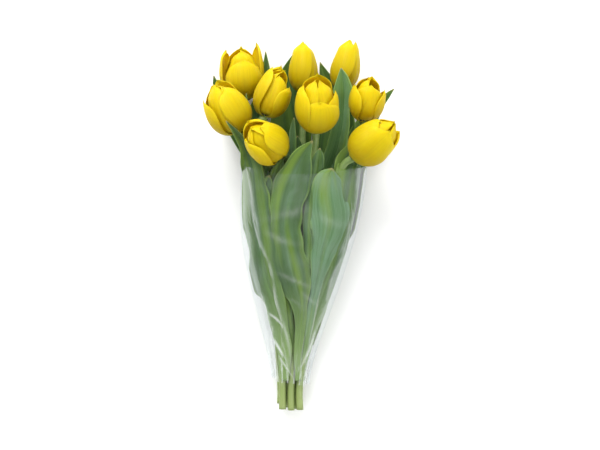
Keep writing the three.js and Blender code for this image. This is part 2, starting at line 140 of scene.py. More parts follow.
# Every leaf by the points on its middle line (mm): across from the middle of the mouth, along from the neck,
# half the blade's width there and, where it is free of the film, the height over the ground. `side` says which
# wall of the sleeve it follows, `level` how deep it lies under others, `roll` how it turns (degrees), `keel` how
# steep its V is, and `tone` which of the four greens it has (see make_leaves).
leaves = [
    dict(stands_for=1, side=1, level=0, line=[
        (-6, 4, 3.2), (-6.5, 30, 3.8), (-4.5, 60, 5), (-4.5, 84, 8.5), (-9, 105, 16), (-13.5, 122, 18.8),
        (-17.5, 143, 17.3), (-20, 163, 15.6), (-17.5, 183, 16.8), (-12.3, 205, 17.8), (-8, 220, 15, 79),
        (-1, 236, 9, 81), (8, 249, 0.4, 82)]),
    dict(stands_for=2, side=1, level=0.8, tone=1, line=[
        (-2, 4, 2.6), (1, 35, 3.1), (4.5, 62, 4), (8, 85, 4.4), (11, 99, 5.5), (15.5, 120, 8.5), (19.5, 139, 13),
        (25.5, 158, 19.5), (27, 172, 22), (24.5, 191, 21), (24, 205, 17), (25.5, 215, 11.5), (28, 222, 0.5)]),
    dict(stands_for=3, side=1, level=1.5, line=[
        (2, 20, 3), (6, 45, 5), (10, 65, 9), (15, 85, 12), (22, 105, 17), (27, 120, 17), (31.5, 140, 16),
        (39.5, 165, 18), (45.5, 195, 19), (49, 222, 15, 48), (51, 238, 9, 46), (54, 252, 0.5, 44)]),
    dict(stands_for=4, side=1, level=0, line=[
        (-20, 4, 4), (-21, 40, 8), (-25, 60, 9), (-28, 76, 10), (-33, 94, 12), (-37.5, 105, 16), (-42, 128, 14.8),
        (-44, 150, 14.5), (-48.5, 172, 15.5), (-52, 195, 15.5), (-54.5, 220, 13, 58), (-60, 242, 6.5, 66),
        (-68, 256, 3.5, 76), (-77.5, 268, 0.4, 90)]),
    dict(stands_for=5, side=1, level=2, line=[
        (-13, 4, 4), (-17, 60, 6), (-24, 92, 10), (-33, 122, 12), (-39, 150, 13), (-42, 178, 13), (-41, 198, 11),
        (-38, 208, 7), (-35, 215, 0.5)]),
    dict(stands_for=6, side=1, level=4, line=[
        (-14, 50, 4), (-24, 100, 9), (-31, 150, 12), (-32, 190, 13), (-29, 212, 9), (-25, 224, 5), (-21, 233, 0.5)]),
    dict(stands_for=7, side=1, level=5, line=[
        (-6, 100, 3), (-9, 150, 5), (-12, 190, 6), (-13, 222, 5.5, 58), (-12, 245, 3.8, 60), (-11.5, 262, 3, 63),
        (-10.5, 273, 0.4, 66)]),
    dict(stands_for=8, side=1, level=4, line=[
        (12, 80, 5), (22, 120, 9), (32, 160, 13), (38, 195, 13), (43, 218, 13, 56), (47, 236, 11, 55),
        (52, 252, 0.5, 52)]),
    dict(stands_for=9, side=-1, tone=2, level=1, line=[
        (8, 40, 6), (12, 100, 14), (20, 160, 19), (26, 215, 19), (31, 250, 22, 8), (33, 280, 21, 9),
        (27, 303, 11, 11), (22, 320, 6, 13), (16.5, 335, 0.4, 14)]),
    dict(stands_for=10, side=-1, tone=2, level=0, line=[
        (-3, 40, 7), (-5, 100, 14), (-8, 160, 19), (-10, 215, 20), (-13, 255, 22, 5), (-17, 290, 18, 6),
        (-16.5, 315, 12, 7), (-14, 332, 6, 8), (-10, 346, 0.4, 8)]),
    dict(stands_for=11, side=-1, tone=2, level=1, roll=30, line=[
        (-12, 60, 6), (-18, 120, 12), (-25, 180, 15), (-32, 225, 14), (-45, 262, 13, 10), (-46, 282, 12, 12),
        (-40, 305, 6.5, 17), (-38.5, 325, 5, 22), (-40, 345, 0.4, 24)]),
    dict(stands_for=12, side=-1, tone=2, level=2, line=[
        (-20, 60, 5), (-32, 110, 10), (-43, 165, 12), (-50, 205, 9), (-57, 235, 6, 12), (-68, 258, 8, 12),
        (-82, 288, 8, 12), (-90, 306, 5, 12), (-94.5, 321, 0.4, 14)]),
    dict(stands_for=13, side=-1, tone=2, level=0, line=[
        (6, 50, 5), (20, 105, 10), (38, 165, 14), (50, 215, 14), (61, 258, 13, 13), (75, 285, 6, 20),
        (86.5, 299, 3, 26), (93, 306, 0.4, 27)]),
    dict(stands_for=14, roll=12, keel=1.1, tone=3, line=[
        (4, 150, 3, 37), (16, 195, 8, 40), (30, 230, 10, 40), (38, 260, 9.5, 40), (40.5, 284, 9, 42),
        (41, 301, 10, 46), (39.8, 314, 6.5, 48), (37.5, 325, 0.4, 49)]),
    # Small ones that grow with their neighbours
    dict(stands_for=1, side=1, level=2, line=[
        (2, 80, 4), (6, 130, 8), (9, 180, 9), (12, 215, 8), (14, 232, 6, 74), (15.5, 242, 0.5, 74)]),
    dict(stands_for=7, side=1, level=7, line=[
        (-4, 120, 4), (-6, 170, 9), (-6, 215, 10), (-6, 238, 8, 44), (-7, 256, 0.5, 46)]),
    dict(stands_for=4, roll=64, line=[
        (-40, 190, 6, 40), (-48, 230, 8, 42), (-55, 262, 7, 46), (-57, 280, 5, 48), (-59, 299, 0.4, 50)]),
]

ROOT = "root"
THINNEST = 0.35 * MM  # half width at the tip of a petal or leaf
FLOOR_DROP = 0.4 * MM  # so the floor never cuts the bunch
STAMENS = 6
CURVE_STEPS = 400  # straight steps by which a curve is measured


# ---- Tools ----

def lerp(a, b, share):
    return a + (b - a) * share


def smooth(value, low, high):
    x = np.clip((value - low) / (high - low), 0, 1)
    return x * x * (3 - 2 * x)


def unit(vector):
    return vector / np.linalg.norm(vector, axis=-1, keepdims=True)


def bunch_point(place):
    """A place given in head pitches from the middle of the mouth, with z from the ground."""
    return np.array(mouth) + np.array(place) * head_pitch


def spline(points):
    """A Catmull-Rom curve through points, as a function of a share of its control points."""
    points = np.array(points, float)
    first, last = 2 * points[0] - points[1], 2 * points[-1] - points[-2]
    padded = np.vstack([first, points, last])
    spans = len(points) - 1

    def at(share):
        x = np.clip(np.asarray(share, float), 0, 1) * spans
        i = np.minimum(x.astype(int), spans - 1)
        f = (x - i)[..., None]
        p0, p1, p2, p3 = (padded[i + k] for k in range(4))
        return 0.5 * (2 * p1 + (p2 - p0) * f + (2 * p0 - 5 * p1 + 4 * p2 - p3) * f ** 2
                      + (3 * p1 - p0 - 3 * p2 + p3) * f ** 3)

    return at


def evenly(at, count):
    """Points spaced evenly along a curve."""
    fine = at(np.linspace(0, 1, CURVE_STEPS))
    run = np.concatenate([[0], np.cumsum(np.linalg.norm(np.diff(fine[:, :3], axis=0), axis=1))])
    wanted = np.linspace(0, run[-1], count)
    return np.stack([np.interp(wanted, run, column) for column in fine.T], axis=1), run[-1]


def grid_object(name, points, closed=False, ends=False):
    """A smooth mesh through a grid of points [row, column], with its grid shares as the UV map 'grid'."""
    rows, columns = points.shape[:2]
    vertices = points.reshape(-1, 3)
    across = columns if closed else columns - 1
    i, j = np.meshgrid(np.arange(rows - 1), np.arange(across), indexing="ij")
    right = (j + 1) % columns
    quads = np.stack([i * columns + j, i * columns + right, (i + 1) * columns + right, (i + 1) * columns + j], -1)
    u = np.stack([j, j + 1, j + 1, j], -1) / across
    v = np.stack([i, i, i + 1, i + 1], -1) / (rows - 1)
    faces = [list(map(int, q)) for q in quads.reshape(-1, 4)]
    uvs = list(np.stack([u.ravel(), v.ravel()], 1))
    if ends:
        faces += [list(range(columns))[::-1], list(range((rows - 1) * columns, rows * columns))]
        uvs += [np.array([0.5, 0.0])] * columns + [np.array([0.5, 1.0])] * columns
    mesh = bpy.data.meshes.new(name)
    mesh.from_pydata([tuple(map(float, p)) for p in vertices], [], faces)
    layer = mesh.uv_layers.new(name="grid")
    layer.data.foreach_set("uv", np.array(uvs, dtype=np.float32).ravel())
    mesh.polygons.foreach_set("use_smooth", [True] * len(mesh.polygons))
    mesh.update()
    piece = bpy.data.objects.new(name, mesh)
    bpy.context.scene.collection.objects.link(piece)
    return piece


def thicken(piece, thickness):
    """Gives a sheet its thickness, half to each side."""
    solid = piece.modifiers.new("thickness", "SOLIDIFY")
    solid.thickness = thickness
    solid.offset = 0
    solid.use_even_offset = False


def place(piece, material, slot, *nodes):
    piece.data.materials.append(material)
    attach(piece, ROOT)
    if nodes:
        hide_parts(*nodes)
    return piece


# ---- The sleeve's shape, which the stems and leaves follow ----

neck_y = mouth.y - sleeve_length


def sleeve_section(y):
    """The middle and half sizes of the sleeve's section at y."""
    share = np.clip((y - neck_y) / sleeve_length, 0, 1)
    flare = 1 - (1 - share ** flare_start) ** flare_end
    half_width = lerp(neck_half_width, mouth_half_width, flare)
    half_height = lerp(neck_half_height, mouth_half_height, flare)
    middle_x = mouth.x - sleeve_lean * (1 - share ** lean_power)
    return middle_x, mouth.z + half_height, half_width, half_height


def boxy(value):
    return np.sign(value) * np.abs(value) ** (2 / section_power)


def wall_point(y, angle, inset):
    middle_x, middle_z, half_width, half_height = sleeve_section(y)
    x = middle_x + (half_width - inset) * boxy(np.cos(angle))
    z = middle_z + (half_height - inset) * boxy(np.sin(angle))
    return np.stack(np.broadcast_arrays(x, y, z), axis=-1)


# ---- Materials ----

class Nodes:
    """A short way to write a material's nodes."""

    def __init__(self, name):
        self.material = bpy.data.materials.new(name)
        self.material.use_nodes = True
        self.tree = self.material.node_tree
        self.tree.nodes.clear()

    def add(self, kind, inputs=None, **settings):
        node = self.tree.nodes.new(kind)
        for key, value in settings.items():
            setattr(node, key, value)
        for key, value in (inputs or {}).items():
            if isinstance(value, bpy.types.NodeSocket):
                self.tree.links.new(value, node.inputs[key])
            else:
                node.inputs[key].default_value = value
        return node

    def maths(self, operation, a, b=0.0, c=0.0):
        return self.add("ShaderNodeMath", {0: a, 1: b, 2: c}, operation=operation).outputs[0]

    def mix(self, share, a, b):
        node = self.add("ShaderNodeMix", {0: share, 6: a, 7: b}, data_type="RGBA", blend_type="MIX")
        return node.outputs[2]

    def range(self, value, low, high, to_low=0.0, to_high=1.0):
        inputs = {0: value, 1: low, 2: high, 3: to_low, 4: to_high}
        return self.add("ShaderNodeMapRange", inputs, clamp=True).outputs[0]

    def grid(self):
        """The shares across and along a piece."""
        uv = self.add("ShaderNodeUVMap", uv_map="grid").outputs[0]
        parts = self.add("ShaderNodeSeparateXYZ", {0: uv})
        return parts.outputs[0], parts.outputs[1]

    def streaks(self, across, along, seed, detail=3.0):
        """Noise that is finer across a piece than along it."""
        at = self.add("ShaderNodeUVMap", uv_map="grid").outputs[0]
        info = self.add("ShaderNodeObjectInfo").outputs["Random"]
        shift = self.maths("MULTIPLY", info, 37.0)
        scaled = self.add("ShaderNodeMapping", {0: at, "Scale": (across, along, 1)}).outputs[0]
        moved = self.add("ShaderNodeVectorMath", {0: scaled, 1: (seed, seed, 0)}, operation="ADD").outputs[0]
        noise = self.add("ShaderNodeTexNoise", {"Vector": moved, "W": shift, "Scale": 1.0, "Detail": detail},
                         noise_dimensions="4D")
        return noise.outputs[0]

    def blotches(self, scale, detail=3.0):
        at = self.add("ShaderNodeTexCoord").outputs["Object"]
        noise = self.add("ShaderNodeTexNoise", {"Vector": at, "Scale": scale, "Detail": detail})
        return noise.outputs[0]

    def bump(self, height, depth, strength):
        """A normal that follows a height."""
        return self.add("ShaderNodeBump", {"Height": height, "Distance": depth, "Strength": strength}).outputs[0]

    def blend(self, share, a, b):
        return self.add("ShaderNodeMixShader", {0: share, 1: a.outputs[0], 2: b.outputs[0]})

    def finish(self, surface):
        self.add("ShaderNodeOutputMaterial", {0: surface.outputs[0]})
        return self.material


def colour(red, green, blue):
    return (red, green, blue, 1.0)


PETAL_RIB, PETAL_FOOT = colour(0.5, 0.5, 0.02), colour(0.4, 0.4, 0.02)
PETAL_LIT_THROUGH = colour(0.9, 0.72, 0.0)
LEAF_BLOOM, LEAF_WARM = colour(0.21, 0.36, 0.22), colour(0.16, 0.27, 0.02)
LEAF_EDGE, LEAF_RIB = colour(0.25, 0.4, 0.07), colour(0.2, 0.33, 0.12)
LEAF_FOOT, LEAF_TIP = colour(0.27, 0.4, 0.13), colour(0.3, 0.26, 0.09)
LEAF_SHEEN, LEAF_LIT_THROUGH = colour(0.8, 1.0, 0.9), colour(0.3, 0.5, 0.03)
STEM_DARK, STEM_LIGHT = colour(0.11, 0.19, 0.035), colour(0.21, 0.3, 0.09)
STEM_FOOT, STEM_SPOTS = colour(0.25, 0.31, 0.1), colour(0.38, 0.46, 0.22)
CUT_DARK, CUT_LIGHT = colour(0.42, 0.5, 0.18), colour(0.72, 0.78, 0.5)
FILM_CLEAR, FILM_GLOSS = colour(0.945, 0.96, 0.965), colour(0.95, 0.97, 1)
# The flat white below is painted on the film's creases, partly as stress whitening and partly as painted glints of
# light.
FILM_HAZE, FILM_WHITE_AND_GLINT = colour(0.62, 0.67, 0.7), colour(0.9, 0.92, 0.93)


def petal_material(name, rich, pale, vein_and_shade_ochre):
    n = Nodes(name)
    across, along = n.grid()
    edge = n.maths("ABSOLUTE", n.maths("MULTIPLY_ADD", across, 2.0, -1.0))
    veins = n.streaks(46.0, 1.1, 3.0, 2.0)
    fine = n.streaks(120.0, 3.0, 9.0, 2.0)
    base = n.mix(n.range(veins, 0.4, 0.8, 0.0, 0.4), colour(*rich), colour(*vein_and_shade_ochre))
    base = n.mix(n.range(edge, 0.55, 1.0, 0.0, 0.4), base, colour(*pale))
    base = n.mix(n.range(n.blotches(60.0), 0.45, 0.75, 0.0, 0.28), base, colour(*pale))
    rib = n.maths("MULTIPLY", n.range(edge, 0.0, 0.12, 0.35, 0.0), n.range(along, 0.15, 0.7, 1.0, 0.0))
    base = n.mix(rib, base, PETAL_RIB)
    # Painted shade: from the middle of the petal down to its foot the colour is painted darker and browner, standing
    # in for the shade under the heads.
    base = n.mix(n.range(along, 0.15, 0.85, 0.9, 0.0), base, colour(*vein_and_shade_ochre))
    base = n.mix(n.range(along, 0.0, 0.16, 0.7, 0.0), base, PETAL_FOOT)
    relief = n.maths("ADD", n.maths("MULTIPLY", veins, 0.7), n.maths("MULTIPLY", fine, 0.3))
    bump = n.bump(relief, 0.4 * MM, 0.24)
    rough = n.range(fine, 0.3, 0.7, 0.44, 0.6)
    skin = n.add("ShaderNodeBsdfPrincipled", {
        "Base Color": base, "Roughness": rough, "Normal": bump, "IOR": 1.4,
        "Subsurface Weight": 0.25, "Subsurface Radius": (1.0, 0.6, 0.1), "Subsurface Scale": 0.002,
        "Specular IOR Level": 0.25, "Sheen Weight": 0.03, "Sheen Roughness": 0.4,
    })
    through = n.add("ShaderNodeBsdfTranslucent", {"Color": n.mix(0.5, base, PETAL_LIT_THROUGH), "Normal": bump})
    return n.finish(n.blend(0.3, skin, through))


def leaf_material(name, dark, light, waxy):
    n = Nodes(name)
    across, along = n.grid()
    edge = n.maths("ABSOLUTE", n.maths("MULTIPLY_ADD", across, 2.0, -1.0))
    veins = n.streaks(60.0, 0.7, 1.0, 2.0)
    fine = n.streaks(170.0, 2.0, 6.0, 2.0)
    broad = n.streaks(5.0, 2.2, 4.0, 2.0)
    base = n.mix(n.range(veins, 0.36, 0.66), colour(*dark), colour(*light))
    bloom = n.maths("MULTIPLY", n.range(broad, 0.35, 0.75), n.range(n.blotches(34.0), 0.35, 0.7, 0.3, 1.0))
    base = n.mix(n.maths("MULTIPLY", bloom, waxy), base, LEAF_BLOOM)
    warm = n.maths("MULTIPLY", n.range(n.streaks(3.0, 1.6, 12.0, 2.0), 0.46, 0.68), 0.8)
    base = n.mix(warm, base, LEAF_WARM)
    base = n.mix(n.range(edge, 0.88, 1.0, 0.0, 0.6), base, LEAF_EDGE)
    rib = n.maths("MULTIPLY", n.range(edge, 0.0, 0.07, 0.5, 0.0), n.range(along, 0.2, 0.9, 1.0, 0.0))
    base = n.mix(rib, base, LEAF_RIB)
    base = n.mix(n.range(along, 0.1, 0.42, 0.85, 0.0), base, LEAF_FOOT)
    base = n.mix(n.range(along, 0.985, 1.0), base, LEAF_TIP)
    relief = n.maths("ADD", n.maths("MULTIPLY", veins, 0.8), n.maths("MULTIPLY", fine, 0.2))
    bump = n.bump(relief, 0.8 * MM, 0.6)
    rough = n.range(broad, 0.3, 0.7, 0.5, 0.38)
    skin = n.add("ShaderNodeBsdfPrincipled", {
        "Base Color": base, "Roughness": rough, "Normal": bump, "IOR": 1.42,
        "Sheen Weight": 0.25, "Sheen Roughness": 0.45, "Sheen Tint": LEAF_SHEEN,
    })
    through = n.add("ShaderNodeBsdfTranslucent", {"Color": n.mix(0.6, base, LEAF_LIT_THROUGH), "Normal": bump})
    return n.finish(n.blend(0.16, skin, through))


def stem_material():
    n = Nodes("stem_skin")
    _, along = n.grid()
    veins = n.streaks(14.0, 4.0, 2.0, 3.0)
    base = n.mix(n.range(veins, 0.35, 0.65), STEM_DARK, STEM_LIGHT)
    base = n.mix(n.range(along, 0.0, 0.35, 0.8, 0.0), base, STEM_FOOT)
    base = n.mix(n.range(n.blotches(90.0), 0.5, 0.8, 0.0, 0.4), base, STEM_SPOTS)
    bump = n.bump(veins, 0.5 * MM, 0.4)
    return n.finish(n.add("ShaderNodeBsdfPrincipled", {
        "Base Color": base, "Roughness": n.range(veins, 0.3, 0.7, 0.36, 0.5), "Normal": bump,
        "Subsurface Weight": 0.15, "Subsurface Radius": (0.5, 1.0, 0.2), "Subsurface Scale": 0.002,
    }))


def cut_material():
    n = Nodes("stem_cut")
    at = n.add("ShaderNodeTexCoord").outputs["Object"]
    cells = n.add("ShaderNodeTexVoronoi", {"Vector": at, "Scale": 1500.0}).outputs[0]
    base = n.mix(n.range(cells, 0.15, 0.5), CUT_DARK, CUT_LIGHT)
    bump = n.bump(cells, 0.3 * MM, 0.5)
    return n.finish(n.add("ShaderNodeBsdfPrincipled", {
        "Base Color": base, "Roughness": 0.4, "Normal": bump,
        "Subsurface Weight": 0.2, "Subsurface Radius": (0.6, 1.0, 0.3), "Subsurface Scale": 0.001,
    }))


def speckled_material(name, dark, light, scale, roughness):
    n = Nodes(name)
    grains = n.blotches(scale, 4.0)
    base = n.mix(n.range(grains, 0.4, 0.62), colour(*dark), colour(*light))
    bump = n.bump(grains, 0.3 * MM, 0.6)
    return n.finish(n.add("ShaderNodeBsdfPrincipled", {
        "Base Color": base, "Roughness": roughness, "Normal": bump,
    }))


def film_material():
    """Clear film: a faint milky veil, mirror streaks where it turns away, and white creases that are partly the
    film's stress whitening and partly painted glints of light.
    """
    n = Nodes("film")
    at = n.add("ShaderNodeTexCoord").outputs["Object"]
    stretched = n.add("ShaderNodeMapping", {0: at, "Scale": (1.0, 0.3, 1.0)}).outputs[0]
    crinkle = n.add("ShaderNodeTexNoise", {"Vector": stretched, "Scale": 55.0, "Detail": 5.0, "Distortion": 0.8})
    patches = n.add("ShaderNodeTexNoise", {"Vector": at, "Scale": 17.0, "Detail": 2.0, "Distortion": 1.2})
    bump = n.bump(crinkle.outputs[0], 4 * MM, 0.4)
    facing = n.add("ShaderNodeLayerWeight", {"Blend": 0.3, "Normal": bump}).outputs["Fresnel"]
    clear = n.add("ShaderNodeBsdfTransparent", {0: FILM_CLEAR})
    gloss = n.add("ShaderNodeBsdfGlossy", {"Color": FILM_GLOSS, "Roughness": 0.14, "Normal": bump})
    haze = n.add("ShaderNodeBsdfDiffuse", {"Color": FILM_HAZE, "Normal": bump})
    white = n.add("ShaderNodeBsdfDiffuse", {"Color": FILM_WHITE_AND_GLINT})
    veil = n.maths("ADD", n.range(crinkle.outputs[0], 0.42, 0.8, 0.0, 0.05),
                   n.range(patches.outputs[0], 0.45, 0.72, 0.0, 0.07))
    veiled = n.blend(veil, clear, haze)
    share = n.maths("MULTIPLY", facing, 0.16)
    glossy = n.blend(share, veiled, gloss)
    # Painted glints: the film is mixed towards flat white along its creases, partly for its stress whitening and
    # partly standing in for light glinting on them.
    crease = n.add("ShaderNodeAttribute", attribute_name="crease").outputs["Fac"]
    broken = n.maths("MULTIPLY", crease, n.range(crinkle.outputs[0], 0.3, 0.6, 0.2, 0.8))
    return n.finish(n.blend(broken, glossy, white))


# ---- Tulips ----

def flower_frame(tulip):
    axis = unit(np.array(tulip["facing"], float))
    front = unit(np.array([0, 0, 1.0]) - axis * axis[2])
    return bunch_point(tulip["foot"]), axis, np.cross(axis, front), front


def make_petal(name, tulip, index, material, slot, node):
    """One petal: an egg-shaped spoon that starts on the ring round the stem and closes over the middle."""
    foot, axis, side, front = flower_frame(tulip)
    random = np.random.default_rng(1000 * tulip["number"] + index)
    inner = index >= 3
    turned, spread, closing, reach, breadth = tulip["petals"][index]
    centre = math.radians(tulip["turn"] + 120 * (index % 3) + (60 if inner else 0) + turned)
    rows, columns = 40, 25
    t = (np.linspace(0, 1, rows) ** 0.92)[:, None]
    u = np.linspace(-1, 1, columns)[None, :]
    length = head_length * tulip["length"] * reach
    radius = head_width * tulip["width"] / 2
    phase = random.uniform(0, 2 * math.pi, 4)

    # Outline: narrow foot, widest past the middle, round top with a small soft point.
    rising = 0.3 + 0.7 * np.sin(math.pi / 2 * np.clip(t / 0.52, 0, 1)) ** 1.1
    closing_in = np.clip(1 - np.clip((t - 0.5) / 0.5, 0, 1) ** 2.6, 0, 1) ** 0.5
    half = np.maximum(radius * breadth * 1.06 * rising * closing_in, THINNEST)
    s = t * (1 - 0.06 * np.abs(u) ** 2 * t)
    s = s + 0.02 * t ** 6 * np.cos(2.2 * math.pi * u + phase[0]) * (1 - u ** 2)

    # Side view, and the petal's own hollow.
    up = np.minimum(s * reach, 1.06)
    curve = np.sin(closing * math.pi * up ** foot_roundness)
    r = petal_ring + (radius - petal_ring) * (curve + spread * s ** spread_power)
    r = r - petal_ring * 0.9 * smooth(up, 0.75, 1.0) * (spread < 0.1)
    hollow = np.maximum(r * 0.98, radius * lerp(0.3, 0.74, smooth(t, 0.25, 0.85)))
    depth = (inner_inset if inner else 0.0) + 0.6 * MM * (index % 3)
    groove = -0.8 * MM * np.exp(-(u / 0.16) ** 2) * np.sin(math.pi * t) ** 0.7
    rolled = random.uniform(-1.6, 0.6) * MM * np.abs(u) ** 4 * t
    waves = MM * t ** 2 * u ** 2 * (0.7 * np.sin(8 * t + phase[1]) + 0.5 * np.sin(15 * t + 4 * u + phase[2]))
    lap = 1.1 * MM * u * np.sin(math.pi * np.clip(t * 1.05, 0, 1))
    ripple = 0.06 * MM * np.sin(24 * u + phase[3]) * np.sin(math.pi * t)
    curl = -random.uniform(0.8, 3.2) * MM * smooth(t, 0.8, 1.0) ** 2
    out = groove + rolled + waves + lap + ripple + curl - depth * np.minimum(1, 0.3 + s * 5)
    turn = np.clip(u * half / hollow, -1.5, 1.5)
    radial = r - hollow * (1 - np.cos(turn)) + out * np.cos(turn)
    lateral = hollow * np.sin(turn) + out * np.sin(turn)
    rise = length * s + depth * np.exp(-s * 12)

    outward = side * math.sin(centre) + front * math.cos(centre)
    along = side * math.cos(centre) - front * math.sin(centre)
    points = foot + rise[..., None] * axis + radial[..., None] * outward + lateral[..., None] * along
    piece = grid_object(name, points)
    thicken(piece, petal_thickness)
    return place(piece, material, slot, node)


def stem_curve(tulip):
    foot, axis, _, _ = flower_frame(tulip)
    neck_x = tulip["column"] * column_pitch + row_shifts[tulip["row"]]
    neck_z = row_heights[tulip["row"]]

    def in_sleeve(share):
        y = lerp(neck_y, mouth.y, share)
        middle_x, middle_z, half_width, half_height = sleeve_section(y)
        waist = 1 - stem_waist * math.sin(math.pi * share)
        u = waist * lerp(neck_x / neck_half_width, tulip["mouth"][0], share)
        v = waist * lerp(neck_z / neck_half_height, tulip["mouth"][1], share)
        return np.array([middle_x + u * half_width, y, middle_z + v * half_height])

    gathered = in_sleeve(0)
    cut = gathered + np.array([0, tulip["cut"] * MM - bare_stem, 0])
    return spline([cut, gathered, in_sleeve(0.3), in_sleeve(0.6), in_sleeve(0.86), foot - axis * stem_lead, foot])


def tube(name, path, radii, sides, ends=True):
    """A tube along a path, with a radius at every point of it."""
    tangents = unit(np.gradient(path, axis=0))
    across = unit(np.array([1.0, 0, 0]) - tangents * tangents[:, :1])
    up = np.cross(tangents, across)
    turn = np.linspace(0, 2 * math.pi, sides, endpoint=False)
    ring = across[:, None] * np.cos(turn)[:, None] + up[:, None] * np.sin(turn)[:, None]
    points = path[:, None] + ring * np.asarray(radii)[..., None]
    return grid_object(name, points, closed=True, ends=ends)


def make_stem(name, tulip, skin, cut, node):
    """A stem with a slightly swollen top under the flower and a pale cut end."""
    rings, sides = 90, 20
    path, length = evenly(stem_curve(tulip), rings)
    run = np.linspace(0, 1, rings)[:, None]
    turn = np.linspace(0, 2 * math.pi, sides, endpoint=False)[None, :]
    number = tulip["number"]
    radii = stem_radius * (0.97 - 0.1 * np.sin(math.pi * run) + 0.16 * np.exp(-(1 - run) * length / (4 * MM)))
    radii = radii * (1 + 0.03 * np.sin(3 * turn + number) + 0.025 * np.sin(20 * run + 2 * number))
    piece = tube(name, path, radii, sides)
    piece.data.materials.append(skin)
    piece.data.materials.append(cut)
    piece.data.polygons[-2].material_index = 1
    piece.data.polygons[-2].use_smooth = False
    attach(piece, ROOT)
    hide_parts(node)
    return piece


def make_pistil(name, tulip, material, node):
    """The ovary in the middle of the flower, with its three-lobed top."""
    foot, axis, _, _ = flower_frame(tulip)
    rings, sides, length, sunk = 22, 24, 19 * MM, 0.5 * MM
    run = np.linspace(0, 1, rings)
    path = foot + (run * length - sunk)[:, None] * axis
    body = np.interp(run, [0, 0.1, 0.5, 0.82, 0.9, 0.97, 1], [2.4, 2.6, 2.8, 2.2, 3.3, 3.0, 1.2]) * MM
    turn = np.linspace(0, 2 * math.pi, sides, endpoint=False)
    lobes = 1 + lerp(0.08, 0.3, smooth(run, 0.75, 0.9))[:, None] * np.cos(3 * turn)[None, :]
    return place(tube(name, path, body[:, None] * lobes, sides), material, "stem", node)


def make_stamens(name, tulip, material):
    """Six stamens round the pistil, in one piece."""
    foot, axis, side, front = flower_frame(tulip)
    random = np.random.default_rng(50 + tulip["number"])
    rings, sides, length = 20, 10, 23 * MM
    run = np.linspace(0, 1, rings)
    radii = np.interp(run, [0, 0.5, 0.56, 0.62, 0.9, 1], [0.9, 0.6, 0.7, 1.5, 1.4, 0.4]) * MM
    parts = []
    for k in range(STAMENS):
        angle = math.radians(360 / STAMENS * k + tulip["turn"] + 30) + random.uniform(-0.1, 0.1)
        out = side * math.sin(angle) + front * math.cos(angle)
        lean = random.uniform(3.5, 5.5) * MM
        path = foot + axis * (run * length + 1 * MM)[:, None] + out * (3.4 * MM + lean * run)[:, None]
        parts.append(tube(f"{name}_{k}", path, radii[:, None] * np.ones(sides), sides))
    return place(joined(name, parts), material, "inner_petal")


def joined(name, parts):
    """Several objects as one."""
    vertices, faces, uvs = [], [], []
    for part in parts:
        start = len(vertices)
        vertices += [tuple(v.co) for v in part.data.vertices]
        faces += [[start + i for i in p.vertices] for p in part.data.polygons]
        uvs += [tuple(d.uv) for d in part.data.uv_layers["grid"].data]
        bpy.data.objects.remove(part)
    mesh = bpy.data.meshes.new(name)
    mesh.from_pydata(vertices, [], faces)
    layer = mesh.uv_layers.new(name="grid")
    layer.data.foreach_set("uv", np.array(uvs, dtype=np.float32).ravel())
    mesh.polygons.foreach_set("use_smooth", [True] * len(mesh.polygons))
    mesh.update()
    whole = bpy.data.objects.new(name, mesh)
    bpy.context.scene.collection.objects.link(whole)
    return whole


def make_tulips():
    # The third colour of each is the veins' brownish yellow, which is also painted over the lower petals as shade.
    outer = petal_material("petal_outer", (0.8, 0.62, 0.0), (0.88, 0.72, 0.015), (0.46, 0.33, 0.0))
    inner = petal_material("petal_inner", (0.82, 0.62, 0.0), (0.86, 0.68, 0.008), (0.5, 0.35, 0.0))
    skin, cut = stem_material(), cut_material()
    ovary = speckled_material("ovary", (0.34, 0.42, 0.08), (0.55, 0.6, 0.2), 600.0, 0.45)
    anther = speckled_material("anther", (0.012, 0.008, 0.01), (0.06, 0.035, 0.03), 900.0, 0.8)
    for number, tulip in enumerate(tulips, 1):
        tulip["number"] = number
        node = f"tulip_{number}"
        make_stem(f"Tulip{number}_stem", tulip, skin, cut, f"{node}_stem")
        make_pistil(f"Tulip{number}_pistil", tulip, ovary, f"{node}_stem")
        make_stamens(f"Tulip{number}_stamens", tulip, anther)
        for i in range(3):
            make_petal(f"Tulip{number}_outer_petal_{i + 1}", tulip, i, outer, "petal",
                       f"{node}_outer_petal_{i + 1}")
            make_petal(f"Tulip{number}_inner_petal_{i + 1}", tulip, i + 3, inner, "inner_petal",
                       f"{node}_inner_petals")


# ---- Leaves ----

def wall_height(x, y, inset, side):
    """The height of the sleeve's front or back wall over a place, less an inset."""
    middle_x, middle_z, half_width, half_height = sleeve_section(y)
    off = np.clip(np.abs(x - middle_x) / (half_width - inset), 0, 0.995)
    return middle_z + side * (half_height - inset) * (1 - off ** section_power) ** (1 / section_power)


